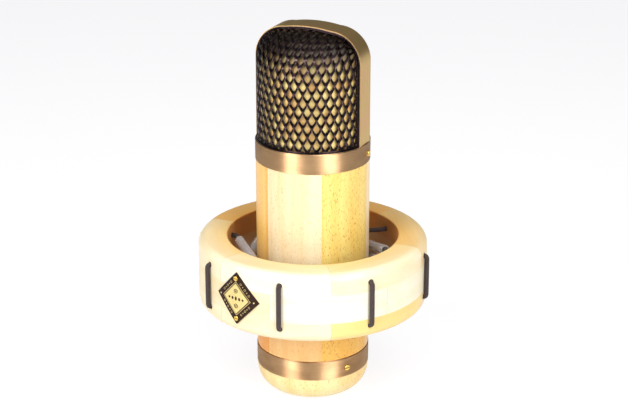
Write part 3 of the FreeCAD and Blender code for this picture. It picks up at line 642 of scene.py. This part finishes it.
# ---- elastic cord -------------------------------------------------------------------
cord_r = 1.4 * MM
sleeve_r = 2.7 * MM
body_r = 31.2 * MM
hug_r = body_r + 0.3 * MM + sleeve_r
hole_count = 8
hole_step = 2 * pi / hole_count
first_hole = mount_turn + radians(22.5)
upper_hole_z = ring_high.z - 6.7 * MM
lower_hole_z = ring_low.z + 7.4 * MM
outer_run_r = ring_outer + cord_r + 0.2 * MM
stub_r = ring_inner - 2.4 * MM
lacing_step = 3
sleeve_pitch = 6.6 * MM
run_drops = (5.9, 5.6, 4.6, 6.4, 5.9, 5.6, 5.9, 5.6)
sleeve_starts = (17.0, 14.0, 9.0, 5.0, 14.0, 12.0, 14.0, 8.0)
sleeve_ends = (9.0, 10.0, 12.0, 14.0, 9.0, 10.0, 9.0, 12.0)
ROUND = 12


def cord_tube(name, points, material, corner=None):
    """A round cord along a smooth line, with U round it and V along it in millimetres."""
    curve = bpy.data.curves.new(name, "CURVE")
    curve.dimensions = "3D"
    curve.bevel_depth = cord_r
    curve.bevel_resolution = ROUND // 4 - 1
    curve.use_fill_caps = False
    curve.resolution_u = 6
    spline = curve.splines.new("NURBS")
    spline.points.add(len(points) - 1)
    for target, point in zip(spline.points, points):
        target.co = (*point, 1)
    spline.order_u = 3
    spline.use_endpoint_u = True
    holder = bpy.data.objects.new(name, curve)
    bpy.context.scene.collection.objects.link(holder)
    graph = bpy.context.evaluated_depsgraph_get()
    data = bpy.data.meshes.new_from_object(holder.evaluated_get(graph))
    bpy.data.objects.remove(holder)
    bpy.data.curves.remove(curve)
    shape = bmesh.new()
    shape.from_mesh(data)
    bpy.data.meshes.remove(data)
    shape.verts.ensure_lookup_table()
    rings = len(shape.verts) // ROUND
    middles = [sum((shape.verts[r * ROUND + k].co for k in range(ROUND)), Vector()) / ROUND
               for r in range(rings)]
    lengths = [0.0]
    for before, after in zip(middles, middles[1:]):
        lengths.append(lengths[-1] + (after - before).length)
    for layer in list(shape.loops.layers.uv):
        shape.loops.layers.uv.remove(layer)
    layer = shape.loops.layers.uv.new("UVMap")
    for face in shape.faces:
        spots = [loop.vert.index % ROUND for loop in face.loops]
        wraps = max(spots) - min(spots) > ROUND / 2
        for loop, spot in zip(face.loops, spots):
            turn = spot + ROUND if wraps and spot < ROUND / 2 else spot
            loop[layer].uv = (turn / ROUND, lengths[loop.vert.index // ROUND] / MM)
    ends = [edge for edge in shape.edges if edge.is_boundary]
    bmesh.ops.holes_fill(shape, edges=ends, sides=0)
    bmesh.ops.recalc_face_normals(shape, faces=shape.faces)
    return finished(name, shape, material)


def outer_run(number, material):
    """One upright run outside the ring, with its two ends through the holes."""
    angle = first_hole + hole_step * number
    high, low = upper_hole_z, lower_hole_z
    near = 0.8 * MM
    points = [polar(ring_inner, angle, high), polar(ring_outer - 6 * MM, angle, high),
              polar(ring_outer - 0.2 * MM, angle, high), polar(outer_run_r, angle, high - near),
              polar(outer_run_r, angle, high - 4 * MM), polar(outer_run_r, angle, low + 4 * MM),
              polar(outer_run_r, angle, low + near), polar(ring_outer - 0.2 * MM, angle, low),
              polar(ring_outer - 6 * MM, angle, low), polar(ring_inner, angle, low)]
    piece = cord_tube(f"elastic_outside_{number + 1}", points, material)
    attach(piece, "ring")
    return piece


def inner_route(number):
    """Corners of one inner run: hole, stub, two round the body, stub, hole."""
    first = first_hole + hole_step * number
    last = first + hole_step * lacing_step
    lead = acos(hug_r / stub_r)
    wrap = last - first - 2 * lead
    corner_r = hug_r / cos(wrap / 4)
    meet_z = upper_hole_z - run_drops[number] * MM
    under_next_z = upper_hole_z - run_drops[(number + 1) % hole_count] * MM - sleeve_pitch
    past_next = wrap - hole_step
    leave_z = (under_next_z * wrap - meet_z * past_next) / hole_step
    fall = meet_z - leave_z
    return [polar(ring_inner, first, upper_hole_z), polar(stub_r, first, upper_hole_z),
            polar(corner_r, first + lead + wrap / 4, meet_z - fall / 4),
            polar(corner_r, last - lead - wrap / 4, leave_z + fall / 4),
            polar(stub_r, last, lower_hole_z), polar(ring_inner, last, lower_hole_z)]


def inner_run(number, material):
    """Two stretches that bend between the ring and the sleeve, and one inside the sleeve."""
    mouth, stub, first, second, low_stub, low_mouth = inner_route(number)
    down = (first - stub).normalized()
    back = (second - low_stub).normalized()
    sleeve_start = stub + down * sleeve_starts[number] * MM
    sleeve_end = low_stub + back * sleeve_ends[number] * MM
    hidden = 3 * MM
    upper = cord_tube(f"elastic_upper_{number + 1}",
                      [mouth, stub.lerp(mouth, 0.25), stub + down * 1.2 * MM,
                       stub.lerp(sleeve_start, 0.6), sleeve_start + down * hidden], material)
    lower = cord_tube(f"elastic_lower_{number + 1}",
                      [sleeve_end + back * hidden, low_stub.lerp(sleeve_end, 0.6),
                       low_stub + back * 1.2 * MM, low_stub.lerp(low_mouth, 0.25), low_mouth],
                      material)
    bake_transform(upper)
    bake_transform(lower)
    middle = cord_tube(f"elastic_middle_{number + 1}",
                       [sleeve_start + down * hidden, first.lerp(sleeve_start, 0.4), first, second,
                        second.lerp(sleeve_end, 0.4), sleeve_end + back * hidden], material)
    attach(middle, "sleeves")
    return [upper, middle, lower]


def make_elastic():
    finish = braid()
    outside = [outer_run(number, finish) for number in range(hole_count)]
    inside = [piece for number in range(hole_count) for piece in inner_run(number, finish)]
    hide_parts("elastic_outer_runs")
    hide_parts("elastic_inner_runs")


# ---- badge --------------------------------------------------------------------------
badge_angle = mount_turn + radians(224.2)
badge_z = ring_middle_z + 0.9 * MM
badge_face = ring_outer + 0.9 * MM
inlay_face = badge_face + 0.3 * MM
badge_half_width = 14.4 * MM
badge_half_height = 14.9 * MM
inlay_share = 0.585
border_row = 0.82
first_mark = 0.28
mark_step = 0.11


def wrap_badge(shape, face_r):
    """Bends a flat pattern (x across, y up, z out) round the ring's wall at the badge."""
    for vertex in shape.verts:
        vertex.co = polar(face_r + vertex.co.z, badge_angle + vertex.co.x / ring_outer,
                          badge_z + vertex.co.y)


def add_lozenge_line(shape, share, width):
    """A closed line shaped like the badge, at a share of its size."""
    made = bmesh.ops.create_circle(shape, cap_ends=True, radius=1.0, segments=4)["verts"]
    bmesh.ops.scale(shape, verts=made,
                    vec=(share * badge_half_width, share * badge_half_height, 1))
    face = next(f for f in shape.faces if set(f.verts) == set(made))
    bmesh.ops.inset_individual(shape, faces=[face], thickness=width, use_even_offset=True)
    border = [f for f in shape.faces if f is not face and any(v in made for v in f.verts)]
    bmesh.ops.delete(shape, geom=[face], context="FACES_ONLY")
    sides = {e for f in border for e in f.edges}
    long_sides = [e for e in sides if e.calc_length() > 4 * width]
    bmesh.ops.subdivide_edges(shape, edges=long_sides, cuts=7, use_grid_fill=True)


def raise_faces(shape, height):
    """Gives a flat pattern a small thickness."""
    top = bmesh.ops.extrude_face_region(shape, geom=list(shape.faces))
    lifted = [item for item in top["geom"] if isinstance(item, bmesh.types.BMVert)]
    bmesh.ops.translate(shape, verts=lifted, vec=(0, 0, height))
    bmesh.ops.recalc_face_normals(shape, faces=shape.faces)


def add_disc(shape, x, y, radius, stretch=1.0, segments=16):
    made = bmesh.ops.create_circle(shape, cap_ends=True, radius=radius,
                                   segments=segments)["verts"]
    bmesh.ops.scale(shape, verts=made, vec=(1, stretch, 1))
    bmesh.ops.translate(shape, verts=made, vec=(x, y, 0))


def add_circle_line(shape, x, y, radius, width):
    outer = bmesh.ops.create_circle(shape, radius=radius, segments=24)
    inner = bmesh.ops.create_circle(shape, radius=radius - width, segments=24)
    made = outer["verts"] + inner["verts"]
    rims = list({edge for vertex in made for edge in vertex.link_edges})
    bmesh.ops.bridge_loops(shape, edges=rims)
    bmesh.ops.translate(shape, verts=made, vec=(x, y, 0))


def badge_pattern(name, shape, height, face_r, material):
    raise_faces(shape, height)
    wrap_badge(shape, face_r)
    piece = finished(name, shape, material, "ring", smooth=False)


def make_badge():
    gold = plain_metal("badge gold", linear(246, 222, 150), 0.34, 0.3)
    line_gold = plain_metal("badge line gold", linear(240, 214, 150), 0.3, 0.3)
    dark = plain_metal("badge patina", linear(62, 46, 40), 0.45, 0.5)
    paint("badge_plate", dark)
    paint("badge_inlay", gold)
    paint("badge_screws", plain_metal("badge screw brass", linear(240, 204, 104), 0.22, 0.3))

    border = bmesh.new()
    add_lozenge_line(border, inlay_share + 0.075, 0.26 * MM)
    for quarter in range(4):
        across = 1 if quarter in (0, 3) else -1
        upward = 1 if quarter < 2 else -1
        for step in range(5):
            share = first_mark + mark_step * step
            x = across * border_row * badge_half_width * (1 - share)
            y = upward * border_row * badge_half_height * share
            if step % 2:
                add_disc(border, x, y, 0.3 * MM)
            else:
                add_circle_line(border, x, y, 0.62 * MM, 0.15 * MM)
    for side in (-1, 1):
        add_disc(border, side * 0.80 * badge_half_width, 0, 0.45 * MM)
    badge_pattern("badge_border", border, 0.14 * MM, badge_face, line_gold)

    ornament = bmesh.new()
    for step in range(-2, 3):
        add_disc(ornament, step * 2.3 * MM, 0, 0.62 * MM, 1.0 + 0.9 * (2 - abs(step)) / 2)
    for upward in (-1, 1):
        add_circle_line(ornament, 0, upward * 4.3 * MM, 1.25 * MM, 0.32 * MM)
        add_disc(ornament, 0, upward * 4.3 * MM, 0.42 * MM)
    badge_pattern("badge_ornament", ornament, 0.1 * MM, inlay_face, dark)


# ---- CAD nodes and their finishes ---------------------------------------------------
def paint_wood():
    cream = timber(255, 235, 192), timber(250, 216, 158)
    yellow = timber(255, 229, 134), timber(250, 206, 98)
    orange = timber(255, 208, 118), timber(246, 182, 82)
    tones = (cream, orange, yellow, orange, cream, yellow)
    flecks = (0.35, 0.6, 0.85, 0.4, 0.4, 0.85)
    for number, ((light, dark), amount) in enumerate(zip(tones, flecks), 1):
        paint(f"body_stave_{number}", stave_wood(number, light, dark, amount))
    # The cap takes a weaker painted shade from the ring than the staves do.
    paint("base_cap", stave_wood(9, timber(255, 246, 186), timber(255, 224, 150), 0.6, 0.2))
    white = linear(255, 251, 238)
    pale = linear(255, 243, 214)
    tan = linear(250, 226, 180)
    straw = linear(255, 228, 154)
    amber = linear(253, 213, 148)
    blond = linear(253, 237, 204)
    courses = (("bottom", (tan, straw, pale, pale, straw, tan)),
               ("middle", (tan, pale, blond, white, white, pale)),
               ("top", (amber, amber, pale, white, pale, tan)))
    share = radians(60)
    first = mount_turn + radians(32.4)
    for course, (name, tones) in enumerate(courses):
        paint("ring_layer_" + name,
              ring_wood(course, first + share / 2 * (course % 2), share, tones))


def paint_metal():
    band_brass = brushed_brass("satin brass bands", "Z", linear(248, 206, 156), 0.55, 1.0)
    paint("upper_band", band_brass)
    paint("lower_band", band_brass)
    paint("head_hoop", brushed_brass("satin brass hoop", "Y", linear(206, 176, 112), 0.38, 0.3))
    screw_brass = plain_metal("brass screws", linear(238, 204, 110), 0.2, 0.3)
    for name in ("upper_band_screws", "lower_band_screws", "capsule_screws", "connector_pins"):
        paint(name, screw_brass)
    capsule_brass = plain_metal("capsule brass", linear(226, 190, 118), 0.25, 0.2)
    for name in ("capsule_backplate", "front_clamp_ring", "rear_clamp_ring", "thread_insert"):
        paint(name, capsule_brass)
    film = plain_metal("gold film", linear(244, 206, 120), 0.08, 0.1)
    for name in ("front_diaphragm", "rear_diaphragm"):
        paint(name, film)
    aluminium = plain_metal("brushed aluminium", linear(196, 198, 202), 0.34, 0.25)
    for name in ("top_plate", "base_plate", "chassis_rail_left", "chassis_rail_right"):
        paint(name, aluminium)
    steel = plain_metal("zinc-plated steel", linear(178, 180, 186), 0.26, 0.3)
    for name in ("base_screws", "chassis_screws", "valve_plates", "output_transformer",
                 "connector_shell", "bracket_screws", "clamp_nut", "clamp_bolt", "clamp_washer"):
        paint(name, steel)


def paint_plastic():
    powder = moulded("black powder coat", linear(34, 33, 35), 0.5, 2.2, 0.3)
    for name in ("bracket", "stand_adaptor"):
        paint(name, powder)
    paint("clamp_knob", moulded("ribbed black knob", linear(28, 28, 30), 0.42, 3.0, 0.2))
    black = moulded("black insulator", linear(30, 29, 31), 0.45)
    for name in ("head_plate", "valve_socket", "connector_insert", "capsule_leads"):
        paint(name, black)
    paint("capsule_saddle", moulded("ivory saddle", linear(226, 220, 202), 0.25, 1.0, 0.04))
    paint("coupling_capacitor", moulded("amber capacitor", linear(170, 120, 40), 0.3))
    paint("circuit_board", circuit_green())
    paint("valve_glass", clear_glass())
    paint("grip_sleeves", silicone())


# ---- stage, light and camera --------------------------------------------------------
def softbox(name, azimuth, elevation, distance, size, power):
    """An area light that looks at the object; azimuth is measured as the camera's is."""
    aim = Vector((0, 0, 0.1))
    way = Vector((sin(azimuth) * cos(elevation), -cos(azimuth) * cos(elevation), sin(elevation)))
    data = bpy.data.lights.new(name, "AREA")
    data.shape = "RECTANGLE"
    data.size, data.size_y = size
    data.energy = power
    lamp = bpy.data.objects.new(name, data)
    lamp.location = aim + way * distance
    lamp.rotation_euler = way.to_track_quat("Z", "Y").to_euler()
    bpy.context.scene.collection.objects.link(lamp)


def make_stage():
    shape = bmesh.new()
    bmesh.ops.create_grid(shape, x_segments=8, y_segments=8, size=6.0)
    bmesh.ops.translate(shape, verts=shape.verts, vec=(0, 0, -0.2 * MM))
    pale = Finish("pale floor", (0.25, 0.245, 0.235, 1), 0.6)
    pale.put("Emission Color", (0.975, 0.975, 1.0, 1))
    pale.put("Emission Strength", 0.80)
    floor = finished("floor", shape, pale.material, smooth=False)
    world = bpy.context.scene.world or bpy.data.worlds.new("World")
    bpy.context.scene.world = world
    world.use_nodes = True
    back = world.node_tree.nodes["Background"]
    back.inputs[0].default_value = (0.96, 0.97, 1.0, 1)
    back.inputs[1].default_value = 0.14


camera_azimuth = radians(24.08)
camera_elevation = radians(20.50)
camera_place = Vector((0.66, -936.7, 454.6)) * MM
camera_lens = 103.64


def make_lights():
    softbox("left softbox", camera_azimuth - radians(43), radians(29), 1.1, (0.46, 1.1), 13)
    softbox("right softbox", camera_azimuth + radians(36), radians(29), 1.1, (0.56, 1.1), 13)
    softbox("overhead softbox", camera_azimuth, radians(80), 1.3, (1.2, 1.2), 8)


def make_camera():
    data = bpy.data.cameras.new("camera")
    data.sensor_width = 36
    data.lens = camera_lens
    data.clip_start = 0.05
    camera = bpy.data.objects.new("camera", data)
    camera.location = Matrix.Rotation(camera_azimuth, 3, "Z") @ camera_place
    camera.rotation_euler = (pi / 2 - camera_elevation, 0, camera_azimuth)
    bpy.context.scene.collection.objects.link(camera)
    bpy.context.scene.camera = camera


make_head()
make_elastic()
make_badge()
paint_wood()
paint_metal()
paint_plastic()
make_stage()
make_lights()
make_camera()
bpy.context.scene.view_settings.view_transform = "Standard"
